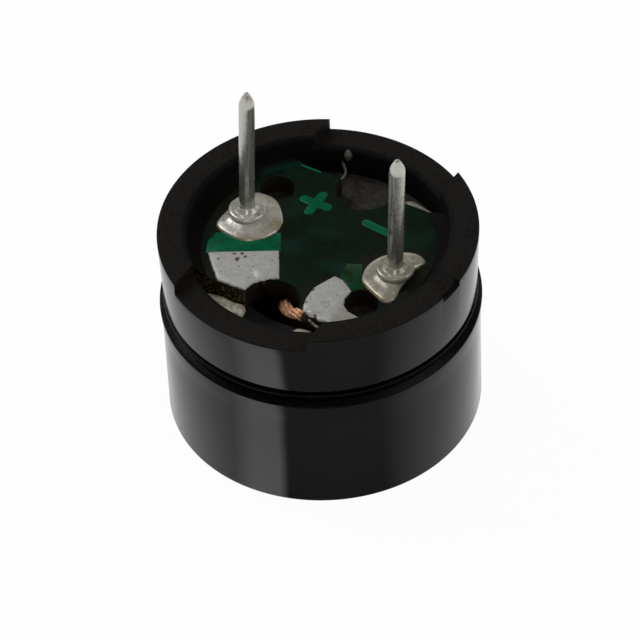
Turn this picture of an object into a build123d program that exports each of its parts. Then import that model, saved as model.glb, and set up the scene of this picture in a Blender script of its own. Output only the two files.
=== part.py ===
from build123d import *
import os

# A round two-pin magnetic buzzer, lying on its sound face with its pins up.
# Millimetres. Z runs up the body's axis from the sound face.
# X runs from the positive pin to the negative pin, and -Y to the side where the coil's wire comes out.

os.makedirs("parts", exist_ok=True)

# Front case: a moulded cup whose closed end is the sound face
case_radius = 6.0
case_height = 5.3
case_wall = 0.7
case_flare = 0.08
case_flare_height = 1.35
mouth_bevel_height = 0.25
mouth_bevel_width = 0.3
face_thickness = 0.8
face_edge_bevel = 0.12
sound_port_radius = 1.0
sound_port_chamfer = 0.2
chamber_depth = 2.4
seat_width = 0.6

# Base ring: a moulded ring that plugs into the case and carries the works
ring_height = 3.2
ring_draft = 0.1
rim_width = 1.1
rim_step = 0.5
rim_edge_bevel = 0.06
rim_inner_bevel = 0.2
low_slot_share = 0.96
low_slot_turn = -2.0
spigot_wall = 0.85
spigot_lead_in = 0.12
spigot_clearance = 0.05
ledge_rise = 1.0

# Seam between the two mouldings: a gap, a thin bead and a crease above it
seam_depth = 0.3
seam_gap = 0.15
bead_height = 0.16
bead_setback = 0.07
bead_bevel = 0.05
crease_height = 0.24

# Moulding gate: a small recess in the rim's outer corner, beside the negative pin
gate_width = 1.08
gate_drop = 0.45
gate_reach = 0.2
gate_angle = -3.9

# Magnetic circuit: a steel plate and pole, a ring magnet, and a steel diaphragm with its weight
yoke_thickness = 0.5
yoke_clearance = 0.05
yoke_slot_width = 2.5
yoke_slot_overlap = 0.9
core_radius = 1.0
core_rivet_radius = 0.75
rivet_clearance = 0.02
air_gap = 0.3
magnet_bore_share = 0.724
magnet_height = 1.9
magnet_clearance = 0.05
diaphragm_thickness = 0.1
diaphragm_clearance = 0.1
weight_radius = 1.6
weight_thickness = 0.3

# Coil and its two leads
coil_clearance = 0.05
coil_magnet_gap = 0.55
coil_setback = 0.4
lead_diameter = 0.26
lead_rise = 0.22
lead_edge_margin = 0.05
lead_coil_inset = 0.4
lead_edge_height_share = 0.62
negative_lead_shares = [(0.68, 0.28), (0.95, -0.41), (1.32, -0.29), (1.60, 0.36)]
positive_lead_shares = [(-0.45, 0.59), (-0.46, 0.52), (-0.56, 0.70), (-0.95, 1.09)]
lead_start_shares = {"negative": 0.09, "positive": -0.41}

# Circuit board, with a bite in the middle of each flat for the leads
board_thickness = 0.8
board_clearance = 0.15
board_flat_cut = 1.25
bite_share = 0.232
bite_inset = 0.1
locating_hole_share = 0.142
locating_hole_inset = 1.25
locating_hole_angle = -32.5
sealant_rise = 0.3
sealant_overlap = 0.35

# Terminal pins and the solder that holds them
pin_edge_distance = 1.5
pin_diameter = 0.6
shank_diameter = 0.56
shank_taper = 0.04
pin_length = 5.0
pin_tip_length = 0.45
pin_nose_radius = 0.07
pin_hole_clearance = 0.05
pin_back_gap = 0.15
collar_diameter = 1.44
collar_thickness = 0.18
collar_bevel = 0.06
solder_share = 0.274
solder_height = 0.24
solder_edge_reach = 0.68
solder_slope_angle = 40.0

# Tinned lands that take the coil's leads
land_thickness = 0.06
land_edge_inset = 0.5
land_flat_inset = 0.08
land_gap = 0.05
positive_land_shares = [(-0.24, -0.20), (-0.01, -0.59), (-0.01, -0.80), (-0.86, -0.80), (-0.86, -0.55)]
negative_land_shares = [
    (0.22, -0.35), (0.32, -0.24), (0.50, -0.36), (0.74, -0.53), (0.74, -0.80), (0.12, -0.80), (0.20, -0.45),
]

# One overrun serves every cut
overrun = 1.0

# Radii from the wall inwards
case_bore = case_radius - case_wall
chamber_radius = case_bore - seat_width
mouth_radius = case_radius + case_flare
mouth_land_radius = mouth_radius - mouth_bevel_width
ring_low_radius = case_radius - ring_draft
bead_radius = case_radius - bead_setback
seam_radius = case_radius - seam_depth
recess_radius = case_radius - rim_width
low_slot_width = case_radius * low_slot_share
spigot_radius = case_bore - spigot_clearance
spigot_bore = spigot_radius - spigot_wall
yoke_radius = recess_radius - yoke_clearance
magnet_radius = spigot_bore - magnet_clearance
magnet_bore = magnet_radius * magnet_bore_share
coil_bore = core_radius + coil_clearance
coil_radius = magnet_bore - coil_magnet_gap
yoke_slot_end = coil_radius - yoke_slot_overlap
board_radius = recess_radius - board_clearance
board_flat_reach = board_radius - board_flat_cut
bite_radius = board_radius * bite_share
bite_centre = board_flat_reach - bite_inset
locating_hole_circle = board_radius - locating_hole_inset
locating_hole_radius = board_radius * locating_hole_share
lead_radius = lead_diameter / 2
pin_radius = pin_diameter / 2
shank_radius = shank_diameter / 2
collar_radius = collar_diameter / 2
solder_radius = board_radius * solder_share
pin_x = board_radius - pin_edge_distance

# Heights from the sound face up
seat_z = face_thickness + chamber_depth
spigot_end_z = seat_z + diaphragm_thickness
core_end_z = spigot_end_z + air_gap
mouth_edge_z = case_height - mouth_bevel_height
flare_start_z = mouth_edge_z - case_flare_height
bead_low_z = case_height + seam_gap
bead_high_z = bead_low_z + bead_height
wall_low_z = bead_high_z + crease_height
rim_z = case_height + ring_height
low_rim_z = rim_z - rim_step
ledge_z = case_height + ledge_rise
yoke_top_z = ledge_z + yoke_thickness
board_top_z = yoke_top_z + board_thickness
land_top_z = board_top_z + land_thickness
collar_z = board_top_z + solder_height
collar_top_z = collar_z + collar_thickness
pin_tip_z = rim_z + pin_length


# Front case, turned in one profile with its port, bevels and flared mouth
with BuildPart() as front_case:
    with BuildSketch(Plane.XZ):
        with BuildLine():
            Polyline(
                (sound_port_radius + sound_port_chamfer, 0),
                (case_radius - face_edge_bevel, 0),
                (case_radius, face_edge_bevel),
                (case_radius, flare_start_z),
            )
            TangentArc((case_radius, flare_start_z), (mouth_radius, mouth_edge_z), tangent=(0, 1))
            Polyline(
                (mouth_radius, mouth_edge_z),
                (mouth_land_radius, case_height),
                (case_bore, case_height),
                (case_bore, seat_z),
                (chamber_radius, seat_z),
                (chamber_radius, face_thickness),
                (sound_port_radius, face_thickness),
                (sound_port_radius, sound_port_chamfer),
                (sound_port_radius + sound_port_chamfer, 0),
            )
        make_face()
    revolve(axis=Axis.Z)
front_case.part.label = "front_case"
export_step(front_case.part, "parts/front_case.step")


# Base ring: turned profile first, then the low slot across its rim and the moulding gate
with BuildPart() as base_ring:
    with BuildSketch(Plane.XZ):
        with BuildLine():
            Polyline(
                (spigot_bore, spigot_end_z),
                (spigot_radius - spigot_lead_in, spigot_end_z),
                (spigot_radius, spigot_end_z + spigot_lead_in),
                (spigot_radius, case_height),
                (seam_radius, case_height),
                (seam_radius, bead_low_z),
                (bead_radius - bead_bevel, bead_low_z),
                (bead_radius, bead_low_z + bead_bevel),
                (bead_radius, bead_high_z - bead_bevel),
                (bead_radius - bead_bevel, bead_high_z),
                (seam_radius, bead_high_z),
                (ring_low_radius, wall_low_z),
                (case_radius, rim_z),
                (recess_radius, rim_z),
                (recess_radius, ledge_z),
                (spigot_bore, ledge_z),
                close=True,
            )
        make_face()
    revolve(axis=Axis.Z)
    with BuildSketch(Plane.XY.offset(low_rim_z).rotated((0, 0, low_slot_turn))):
        Rectangle(low_slot_width, 2 * (case_radius + overrun))
    extrude(amount=rim_step + overrun, mode=Mode.SUBTRACT)
    gate_plane = Plane.XY.offset(rim_z - gate_drop).rotated((0, 0, gate_angle))
    with BuildSketch(gate_plane):
        with Locations((case_radius, 0)):
            Rectangle(2 * gate_reach, gate_width)
    extrude(amount=gate_drop + overrun, mode=Mode.SUBTRACT)
    rim_edges = base_ring.edges().filter_by(GeomType.CIRCLE).filter_by_position(Axis.Z, low_rim_z, rim_z)
    chamfer(rim_edges.filter_by(lambda edge: edge.radius > ring_low_radius), length=rim_edge_bevel)
    mouth_edges = base_ring.edges().filter_by(GeomType.CIRCLE).filter_by_position(Axis.Z, low_rim_z, rim_z)
    chamfer(mouth_edges.filter_by(lambda edge: edge.radius < seam_radius), length=rim_inner_bevel)
base_ring.part.label = "base_ring"
export_step(base_ring.part, "parts/base_ring.step")


# Yoke plate on the ring's ledge, slotted on the wire side
with BuildPart() as yoke_plate:
    with BuildSketch(Plane.XY.offset(ledge_z)):
        Circle(yoke_radius)
        Circle(core_rivet_radius + rivet_clearance, mode=Mode.SUBTRACT)
        with Locations((0, -yoke_slot_end - yoke_slot_width / 2)):
            Circle(yoke_slot_width / 2, mode=Mode.SUBTRACT)
            Rectangle(
                yoke_slot_width,
                yoke_radius,
                align=(Align.CENTER, Align.MAX),
                mode=Mode.SUBTRACT,
            )
    extrude(amount=yoke_thickness)
yoke_plate.part.label = "yoke_plate"
export_step(yoke_plate.part, "parts/yoke_plate.step")


# Pole core: its shoulder seats under the yoke and its rivet passes through
with BuildPart() as pole_core:
    with BuildSketch(Plane.XZ):
        with BuildLine():
            Polyline(
                (0, core_end_z),
                (core_radius, core_end_z),
                (core_radius, ledge_z),
                (core_rivet_radius, ledge_z),
                (core_rivet_radius, yoke_top_z),
                (0, yoke_top_z),
                close=True,
            )
        make_face()
    revolve(axis=Axis.Z)
pole_core.part.label = "pole_core"
export_step(pole_core.part, "parts/pole_core.step")


# Coil: a winding on the core, under the yoke
coil_low_z = core_end_z + coil_setback
with BuildPart() as coil_winding:
    with BuildSketch(Plane.XY.offset(coil_low_z)):
        Circle(coil_radius)
        Circle(coil_bore, mode=Mode.SUBTRACT)
    extrude(amount=ledge_z - coil_low_z)
coil_winding.part.label = "coil_winding"
export_step(coil_winding.part, "parts/coil_winding.step")


# Ring magnet under the yoke, inside the spigot
with BuildPart() as ring_magnet:
    with BuildSketch(Plane.XY.offset(ledge_z)):
        Circle(magnet_radius)
        Circle(magnet_bore, mode=Mode.SUBTRACT)
    extrude(amount=-magnet_height)
ring_magnet.part.label = "ring_magnet"
export_step(ring_magnet.part, "parts/ring_magnet.step")


# Diaphragm, held between the case's seat and the end of the spigot
with BuildPart() as diaphragm:
    with BuildSketch(Plane.XY.offset(seat_z)):
        Circle(case_bore - diaphragm_clearance)
    extrude(amount=diaphragm_thickness)
diaphragm.part.label = "diaphragm"
export_step(diaphragm.part, "parts/diaphragm.step")


# Weight at the middle of the diaphragm, on its chamber side
with BuildPart() as diaphragm_weight:
    with BuildSketch(Plane.XY.offset(seat_z)):
        Circle(weight_radius)
    extrude(amount=-weight_thickness)
diaphragm_weight.part.label = "diaphragm_weight"
export_step(diaphragm_weight.part, "parts/diaphragm_weight.step")


# Circuit board on the yoke
with BuildPart() as circuit_board:
    with BuildSketch(Plane.XY.offset(yoke_top_z)):
        Circle(board_radius)
        Rectangle(2 * board_radius, 2 * board_flat_reach, mode=Mode.INTERSECT)
        with Locations((0, bite_centre), (0, -bite_centre)):
            Circle(bite_radius, mode=Mode.SUBTRACT)
        with Locations((pin_x, 0), (-pin_x, 0)):
            Circle(shank_radius + pin_hole_clearance, mode=Mode.SUBTRACT)
        with PolarLocations(locating_hole_circle, 2, start_angle=locating_hole_angle):
            Circle(locating_hole_radius, mode=Mode.SUBTRACT)
    extrude(amount=board_thickness)
circuit_board.part.label = "circuit_board"
export_step(circuit_board.part, "parts/circuit_board.step")


# Sealant along the board's round ends: it fills the gap and slopes from the board up to the ring's wall
with BuildPart() as board_sealant:
    with BuildSketch(Plane.XZ):
        with BuildLine():
            Polyline(
                (board_radius, yoke_top_z),
                (recess_radius, yoke_top_z),
                (recess_radius, board_top_z + sealant_rise),
                (board_radius - sealant_overlap, board_top_z),
                (board_radius, board_top_z),
                close=True,
            )
        make_face()
    revolve(axis=Axis.Z)
    with BuildSketch(Plane.XY.offset(yoke_top_z)):
        Rectangle(2 * recess_radius, 2 * board_flat_reach)
    extrude(amount=board_thickness + sealant_rise, mode=Mode.INTERSECT)
board_sealant.part.label = "board_sealant"
export_step(board_sealant.part, "parts/board_sealant.step")


# Terminal pins: a pointed tip above, a collar on the solder, a tapered shank in the board
for pole, side in (("positive", -1), ("negative", 1)):
    pin_name = f"terminal_pin_{pole}"
    pin_plane = Plane(origin=(side * pin_x, 0, 0), x_dir=(1, 0, 0), z_dir=(0, -1, 0))
    with BuildPart() as terminal_pin:
        with BuildSketch(pin_plane):
            with BuildLine():
                Polyline(
                    (0, yoke_top_z + pin_back_gap),
                    (shank_radius - shank_taper, yoke_top_z + pin_back_gap),
                    (shank_radius, collar_z),
                    (collar_radius, collar_z),
                    (collar_radius, collar_top_z - collar_bevel),
                    (collar_radius - collar_bevel, collar_top_z),
                    (pin_radius, collar_top_z),
                    (pin_radius, pin_tip_z - pin_tip_length),
                    (pin_nose_radius, pin_tip_z),
                    (0, pin_tip_z),
                    close=True,
                )
            make_face()
        revolve(axis=Axis((side * pin_x, 0, 0), (0, 0, 1)))
    terminal_pin.part.label = pin_name
    export_step(terminal_pin.part, f"parts/{pin_name}.step")


# Solder joints: a pool on a round pad that is cut straight on its outer side
for pole, side in (("positive", -1), ("negative", 1)):
    joint_name = f"solder_joint_{pole}"
    with BuildPart() as solder_joint:
        with BuildSketch(Plane.XY.offset(board_top_z)):
            with Locations((side * pin_x, 0)):
                Circle(solder_radius)
            with Locations((side * (pin_x + solder_edge_reach), 0)):
                Rectangle(
                    4 * solder_radius,
                    4 * solder_radius,
                    align=(Align.MAX if side > 0 else Align.MIN, Align.CENTER),
                    mode=Mode.INTERSECT,
                )
        extrude(amount=solder_height, taper=solder_slope_angle)
        with BuildSketch(Plane.XY.offset(board_top_z)):
            with Locations((side * pin_x, 0)):
                Circle(shank_radius)
            with PolarLocations(locating_hole_circle, 2, start_angle=locating_hole_angle):
                Circle(locating_hole_radius + land_gap)
        extrude(amount=solder_height, mode=Mode.SUBTRACT)
    solder_joint.part.label = joint_name
    export_step(solder_joint.part, f"parts/{joint_name}.step")


# Tinned lands, trimmed to the board's outline, its bites and its holes
for pole, shares in (("positive", positive_land_shares), ("negative", negative_land_shares)):
    land_name = f"solder_land_{pole}"
    corners = [(across * board_radius, along * board_radius) for across, along in shares]
    with BuildPart() as solder_land:
        with BuildSketch(Plane.XY.offset(board_top_z)):
            Polygon(*corners, align=None)
            Circle(board_radius - land_edge_inset, mode=Mode.INTERSECT)
            Rectangle(2 * board_radius, 2 * (board_flat_reach - land_flat_inset), mode=Mode.INTERSECT)
            with Locations((0, -bite_centre)):
                Circle(bite_radius + land_gap, mode=Mode.SUBTRACT)
            with PolarLocations(locating_hole_circle, 2, start_angle=locating_hole_angle):
                Circle(locating_hole_radius + land_gap, mode=Mode.SUBTRACT)
            with Locations((pin_x, 0), (-pin_x, 0)):
                Circle(solder_radius + land_gap, mode=Mode.SUBTRACT)
        extrude(amount=land_thickness)
    solder_land.part.label = land_name
    export_step(solder_land.part, f"parts/{land_name}.step")


# Coil leads: up from the coil, out through the slot and the bite, and down on the lands
lead_start_y = lead_coil_inset - coil_radius
lead_low_z = ledge_z + lead_rise
lead_under_z = yoke_top_z - lead_edge_margin
lead_land_z = land_top_z + lead_radius
lead_over_z = lead_land_z + lead_radius
lead_edge_z = yoke_top_z + board_thickness * lead_edge_height_share
lead_heights = [lead_under_z, lead_edge_z, lead_over_z, lead_land_z]
for pole, shares in (("positive", positive_lead_shares), ("negative", negative_lead_shares)):
    lead_name = f"coil_lead_{pole}"
    start_x = lead_start_shares[pole] * bite_radius
    stops = [(start_x, lead_start_y, ledge_z), (start_x, lead_start_y, lead_low_z)]
    for (across, inwards), height in zip(shares, lead_heights):
        stops.append((across * bite_radius, inwards * bite_radius - bite_centre, height))
    with BuildPart() as coil_lead:
        with BuildLine() as route:
            Polyline(*stops)
        with BuildSketch(Plane(origin=route.line @ 0, z_dir=route.line % 0)):
            Circle(lead_radius)
        sweep(transition=Transition.RIGHT)
    coil_lead.part.label = lead_name
    export_step(coil_lead.part, f"parts/{lead_name}.step")
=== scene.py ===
# %% [markdown]
# # A magnetic buzzer, dressed for its picture
#
# The object is a black can 12 mm across that lies on its sound face with its two pins up.
# A moulded cup and a moulded ring make the outside. A round circuit board closes the back, with the pins
# soldered into it and two wires of the coil soldered onto it.
# The solids come from CAD and are never moved here. This lesson adds what CAD leaves out: rounded edges,
# solder that has flowed, twisted wire, solder mask, glue and the finish of each material.

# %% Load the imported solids
from math import acos, asin, cos, degrees, pi, radians, sin, tan

import bmesh
import bpy
from mathutils import Matrix, Vector, noise


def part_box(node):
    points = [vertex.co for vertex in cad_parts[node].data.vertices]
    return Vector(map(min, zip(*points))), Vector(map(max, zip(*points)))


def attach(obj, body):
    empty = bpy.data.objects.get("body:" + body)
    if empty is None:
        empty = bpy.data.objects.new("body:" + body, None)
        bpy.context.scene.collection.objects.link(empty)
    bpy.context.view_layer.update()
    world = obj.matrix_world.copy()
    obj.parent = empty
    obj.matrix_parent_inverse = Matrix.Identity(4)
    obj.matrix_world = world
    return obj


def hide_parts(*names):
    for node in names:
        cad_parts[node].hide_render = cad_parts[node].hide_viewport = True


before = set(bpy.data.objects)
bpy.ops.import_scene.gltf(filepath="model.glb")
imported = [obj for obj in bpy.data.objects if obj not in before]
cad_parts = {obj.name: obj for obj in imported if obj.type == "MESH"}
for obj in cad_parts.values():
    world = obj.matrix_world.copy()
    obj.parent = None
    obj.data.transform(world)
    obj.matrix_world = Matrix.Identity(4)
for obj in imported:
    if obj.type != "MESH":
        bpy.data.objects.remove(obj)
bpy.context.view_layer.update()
MM = 0.001
scene = bpy.context.scene

# %% [markdown]
# ## Camera
#
# The camera stands where the photographer stood: a long lens, well back, looking down at about 45 degrees.
# Its place could be given as three coordinates, but a compass angle, an elevation and a distance say more to
# a reader. A small roll is left in, because the photographed can leans a little to one side.

# %% Camera
view_azimuth = radians(33.0)
view_elevation = radians(44.85)
view_roll = radians(-2.75)
view_distance = 167.8 * MM
view_target = Vector((-0.069, -0.045, 3.648)) * MM

towards_camera = Vector((
    sin(view_azimuth) * cos(view_elevation),
    -cos(view_azimuth) * cos(view_elevation),
    sin(view_elevation),
))
level_right = Vector((cos(view_azimuth), sin(view_azimuth), 0))
level_up = towards_camera.cross(level_right)
camera_right = level_right * cos(view_roll) + level_up * sin(view_roll)
camera_up = level_up * cos(view_roll) - level_right * sin(view_roll)

lens = bpy.data.cameras.new("camera")
lens.sensor_width = 36.0
lens.lens = 249.1
lens.clip_start = 0.01
camera = bpy.data.objects.new("camera", lens)
camera.matrix_world = Matrix.Translation(view_target + towards_camera * view_distance) @ Matrix((
    camera_right, camera_up, towards_camera,
)).transposed().to_4x4()
scene.collection.objects.link(camera)
scene.camera = camera
print("camera at mm:", [round(x / MM, 1) for x in camera.location])

# %% [markdown]
# ## Shader sums written as Python
#
# A material here is a few numbers that vary over a surface: a mask, a stain, a grain.
# Wiring those by hand takes many lines, so one small class wraps a node's output and lets Python sums add the
# Math nodes. A second class holds one material and has the single method that adds every other kind of node.

# %% Flow and Finish
class Flow:
    """A node's output that can stand in a Python sum."""

    def __init__(self, finish, socket):
        self.finish = finish
        self.socket = socket

    def sum(self, operation, first, second):
        terms = {"Value": first, "Value_001": second}
        return self.finish.node("ShaderNodeMath", {"operation": operation}, terms)

    def __add__(self, other):
        return self.sum("ADD", self, other)

    def __radd__(self, other):
        return self.sum("ADD", other, self)

    def __sub__(self, other):
        return self.sum("SUBTRACT", self, other)

    def __rsub__(self, other):
        return self.sum("SUBTRACT", other, self)

    def __mul__(self, other):
        return self.sum("MULTIPLY", self, other)

    def __rmul__(self, other):
        return self.sum("MULTIPLY", other, self)


class Finish:
    """One material, or the world: its first shader, and the method that adds any other node."""

    def __init__(self, name, home=None, shader="Principled BSDF", **constants):
        self.material = home or bpy.data.materials.new(name)
        self.material.use_nodes = True
        self.tree = self.material.node_tree
        self.shader = self.tree.nodes[shader]
        for socket, value in constants.items():
            self.shader.inputs[socket.replace("_", " ")].default_value = value

    def node(self, kind, settings={}, sockets={}, output=0):
        made = self.tree.nodes.new(kind)
        for name, value in settings.items():
            setattr(made, name, value)
        for name, value in sockets.items():
            target = next(s for s in made.inputs if name in (s.identifier, s.name))
            self.feed(target, value)
        if isinstance(output, int):
            return Flow(self, made.outputs[output])
        return Flow(self, next(s for s in made.outputs if output in (s.identifier, s.name)))

    def feed(self, socket, value):
        if isinstance(value, Flow):
            self.tree.links.new(value.socket, socket)
        else:
            socket.default_value = value

    def set(self, socket, flow):
        self.feed(self.shader.inputs[socket], flow)

    def place(self):
        return self.node("ShaderNodeTexCoord", output="Object")

    def axes(self):
        split = self.node("ShaderNodeSeparateXYZ", {}, {"Vector": self.place()}).socket.node
        return [Flow(self, out) for out in split.outputs]

    def from_axis(self, x, y, centre=(0, 0)):
        """Distance from an upright line, the can's own axis if no other is given."""
        offset = self.node("ShaderNodeCombineXYZ", {}, {"X": x - centre[0], "Y": y - centre[1]})
        return self.node("ShaderNodeVectorMath", {"operation": "LENGTH"}, {"Vector": offset}, "Value")

    def seen(self):
        """1 for a ray that a viewer, a mirror or glass sends, 0 for the soft light between surfaces."""
        rays = self.node("ShaderNodeLightPath").socket.node.outputs
        kinds = ("Camera", "Glossy", "Transmission")
        camera, glossy, glass = (Flow(self, rays[f"Is {kind} Ray"]) for kind in kinds)
        return camera + glossy + glass

    def mixed(self, mask, first, second):
        """Shows the first shader where the mask is 0 and the second where it is 1."""
        shown = self.node("ShaderNodeMixShader", {}, {"Fac": mask, "Shader": first, "Shader_001": second})
        output = next(node for node in self.tree.nodes if "Output" in node.bl_idname)
        self.feed(output.inputs["Surface"], shown)

    def facing_up(self):
        normal = self.node("ShaderNodeNewGeometry", output="Normal")
        return self.node("ShaderNodeSeparateXYZ", {}, {"Vector": normal}, "Z")

    def grain(self, size, detail=2.0):
        """Noise from 0 to 1 whose lumps are about size metres across."""
        sockets = {"Vector": self.place(), "Scale": 1 / size, "Detail": detail}
        return self.node("ShaderNodeTexNoise", {}, sockets, "Fac")

    def ramp(self, value, low, high):
        """0 below low, 1 above high, smooth between."""
        sockets = {"Value": value, "From Min": low, "From Max": high}
        return self.node("ShaderNodeMapRange", {"interpolation_type": "SMOOTHSTEP"}, sockets, "Result")

    def blend(self, mask, first, second):
        sockets = {"Factor_Float": mask, "A_Color": first, "B_Color": second}
        return self.node("ShaderNodeMix", {"data_type": "RGBA"}, sockets, "Result_Color")

    def bump(self, height, depth):
        return self.node("ShaderNodeBump", {}, {"Height": height, "Distance": depth}, "Normal")


def rgb(red, green, blue):
    """A colour written as it is read off a screen, from 0 to 255, made linear for a shader."""
    parts = [c / 255 for c in (red, green, blue)]
    return (*[p / 12.92 if p <= 0.04045 else ((p + 0.055) / 1.055) ** 2.4 for p in parts], 1.0)


print("a mid grey is", [round(c, 3) for c in rgb(128, 128, 128)])

# %% [markdown]
# ## Pieces
#
# Every shape below is either a skin over a row of sections or a form raised from an outline.
# Both are a few lines of mesh code, and they give exact sizes, closed meshes and clean shading, which
# sculpting would not. A piece rides on the CAD body, so that it goes where the part goes.

# %% Skins and pieces
def skin(name, sections, loop_sections=True, loop_points=True, sharp=35):
    """A mesh over sections that all have the same number of points."""
    mesh = bmesh.new()
    rows = [[mesh.verts.new(point) for point in section] for section in sections]
    pairs = list(zip(rows, rows[1:] + rows[:1])) if loop_sections else list(zip(rows, rows[1:]))
    for row, other in pairs:
        count = len(row)
        for i in range(count if loop_points else count - 1):
            j = (i + 1) % count
            mesh.faces.new((row[i], other[i], other[j], row[j]))
    return settled(name, mesh, sharp)


def settled(name, mesh, sharp=35):
    """Merges doubled points, turns the faces outwards, and shades smooth except across sharp corners."""
    bmesh.ops.remove_doubles(mesh, verts=mesh.verts, dist=1e-7)
    bmesh.ops.dissolve_degenerate(mesh, edges=mesh.edges, dist=1e-8)
    bmesh.ops.recalc_face_normals(mesh, faces=mesh.faces)
    data = bpy.data.meshes.new(name)
    mesh.to_mesh(data)
    mesh.free()
    data.shade_smooth()
    data.set_sharp_from_angle(angle=radians(sharp))
    return data


def piece(data, finish, slot, *nodes):
    """Adds a mesh that rides on the body, takes its finish and stands for the CAD nodes named."""
    item = bpy.data.objects.new(data.name, data)
    scene.collection.objects.link(item)
    data.materials.append(finish.material)
    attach(item, "root")
    if nodes:
        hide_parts(*nodes)
    return item


def finish_faces(item, finish, chosen):
    """Gives the faces that a rule chooses another finish than the rest of the piece."""
    item.data.materials.append(finish.material)
    for face in item.data.polygons:
        if chosen(face):
            face.material_index = len(item.data.materials) - 1


def rounded(corners, steps=4):
    """A profile from (radius, height, rounding) corners in metres, each corner turned into a short curve."""
    points = []
    for i, (r, z, rounding) in enumerate(corners):
        here = Vector((r, z))
        back = Vector(corners[i - 1][:2]) - here
        ahead = Vector(corners[(i + 1) % len(corners)][:2]) - here
        half = acos(max(-1.0, min(1.0, back.normalized() @ ahead.normalized()))) / 2
        setback = rounding / tan(half) if rounding else 0.0
        start = here + back.normalized() * setback
        end = here + ahead.normalized() * setback
        for step in range(steps + 1):
            t = step / steps
            points.append(start * (1 - t) ** 2 + here * 2 * t * (1 - t) + end * t**2)
    return points


def turned(profile, angle, centre=(0, 0)):
    """One section of a turned piece: the profile stood up at an angle about the centre."""
    return [Vector((centre[0] + p.x * cos(angle), centre[1] + p.x * sin(angle), p.y)) for p in profile]


# %% [markdown]
# ## Black plastic
#
# The cup and the sides of the ring are glossy injection-moulded plastic. The ring's rim is the same plastic
# with a fine spark texture, dull and slightly brown.
# A black surface shows almost nothing but its reflection, so the gloss matters more than the colour, and the
# two textures are two finishes. Inside the recess hardly any light returns, so both go darker there.
# The seam is painted shade: the groove between the parts, its bead and the cup's mouth bevel take a dull
# near-black finish that also reflects little.

# %% Plastic finishes
def dark_inside(finish):
    """A mask that is 1 in the hollow of the body, where light hardly returns."""
    x, y, z = finish.axes()
    hollow = 1 - finish.ramp(finish.from_axis(x, y), 5.02 * MM, 5.14 * MM)
    return hollow * finish.ramp(z, 0.3 * MM, 0.6 * MM)


def gloss_plastic(name, roughness):
    finish = Finish(name, IOR=1.5, Specular_Tint=(0.92, 0.97, 0.98, 1))
    clouds = finish.grain(1.6 * MM, 4.0)
    wall_colour = finish.blend(clouds, rgb(33, 33, 32), rgb(38, 37, 36))
    finish.set("Base Color", finish.blend(dark_inside(finish), wall_colour, rgb(6, 5, 5)))
    finish.set("Roughness", roughness + (clouds - 0.5) * 0.06)
    finish.set("Normal", finish.bump(clouds, 0.002 * MM))
    return finish


case_plastic = gloss_plastic("case_plastic", 0.13)
ring_plastic = gloss_plastic("ring_plastic", 0.13)

rim = Finish("rim_texture", IOR=1.2)
speckle = rim.ramp(rim.grain(0.09 * MM, 3.0), 0.4, 0.75)
rim_colour = rim.blend(speckle, rgb(15, 13, 11), rgb(29, 25, 21))
rim.set("Base Color", rim.blend(dark_inside(rim), rim_colour, rgb(5, 5, 4)))
rim.set("Roughness", 0.68 + speckle * 0.1)
rim.set("Normal", rim.bump(speckle, 0.006 * MM))

# Painted shade for the seam: near-black, and dull so that it reflects little.
painted_seam_shade = Finish("painted_seam_shade", IOR=1.15)
seam_mottle = painted_seam_shade.ramp(painted_seam_shade.grain(0.2 * MM, 4.0), 0.5, 0.8)
painted_seam_shade.set("Base Color", painted_seam_shade.blend(seam_mottle, rgb(4, 4, 4), rgb(14, 12, 10)))
painted_seam_shade.set("Roughness", 0.3 + seam_mottle * 0.3)
print("plastic nodes:", len(ring_plastic.tree.nodes), "rim nodes:", len(rim.tree.nodes))

# %% [markdown]
# ## Front case
#
# The case is a cup: a thick face with the sound port below, a thin wall, and a mouth that flares a little and
# is bevelled. Lathe work is a profile turned about an axis, so the piece is one rounded profile stood up at
# many angles. The CAD solid has the same profile with plain bevels. This skin rounds them and is fine enough
# to reflect smoothly.

# %% Front case
case_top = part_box("front_case")[1].z
case_radius = 6.0 * MM
case_bore = 5.3 * MM
chamber_radius = 4.7 * MM
mouth_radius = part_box("front_case")[1].x
port_radius = 1.0 * MM
seat_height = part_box("diaphragm")[0].z
face_thickness = 0.8 * MM
port_bevel = 0.2 * MM
port_edge = 0.03 * MM
flare_height = 1.6 * MM
flare_bend_height = 0.95 * MM
flare_bend_reach = 0.02 * MM
mouth_bevel_height = 0.17 * MM
mouth_bevel = 0.3 * MM
seam_band = 0.195 * MM
around = [radians(1.5 * step) for step in range(240)]

case_profile = rounded([
    (port_radius + port_bevel, 0, port_edge),
    (case_radius, 0, 0.12 * MM),
    (case_radius, case_top - flare_height, 0),
    (case_radius + flare_bend_reach, case_top - flare_bend_height, 0.3 * MM),
    (mouth_radius, case_top - mouth_bevel_height, 0.05 * MM),
    (mouth_radius - mouth_bevel, case_top, 0.04 * MM),
    (case_bore, case_top, 0.05 * MM),
    (case_bore, seat_height, 0),
    (chamber_radius, seat_height, 0),
    (chamber_radius, face_thickness, 0.3 * MM),
    (port_radius, face_thickness, 0),
    (port_radius, port_bevel, port_edge),
])
case_skin = skin("moulded_case", [turned(case_profile, angle) for angle in around])
front_case = piece(case_skin, case_plastic, "case_plastic", "front_case")
# The cup's mouth bevel and top take the painted seam shade.
finish_faces(front_case, painted_seam_shade, lambda face: face.center.z > case_top - seam_band)
print("case faces:", len(front_case.data.polygons))

# %% [markdown]
# ## Base ring
#
# The ring plugs into the cup. Its rim stands high at the pins, and a straight slot runs across it half a
# millimetre lower, so that flux can be washed out from under the soldered part. The rim's edge has the small
# scar of the moulding gate.
# A boolean cut would leave long thin faces, so the skin takes two sections at each side of the slot, one for
# each height. The slot's sides are parallel, so near them each section is bent round the axis until it lies
# along the side.

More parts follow.
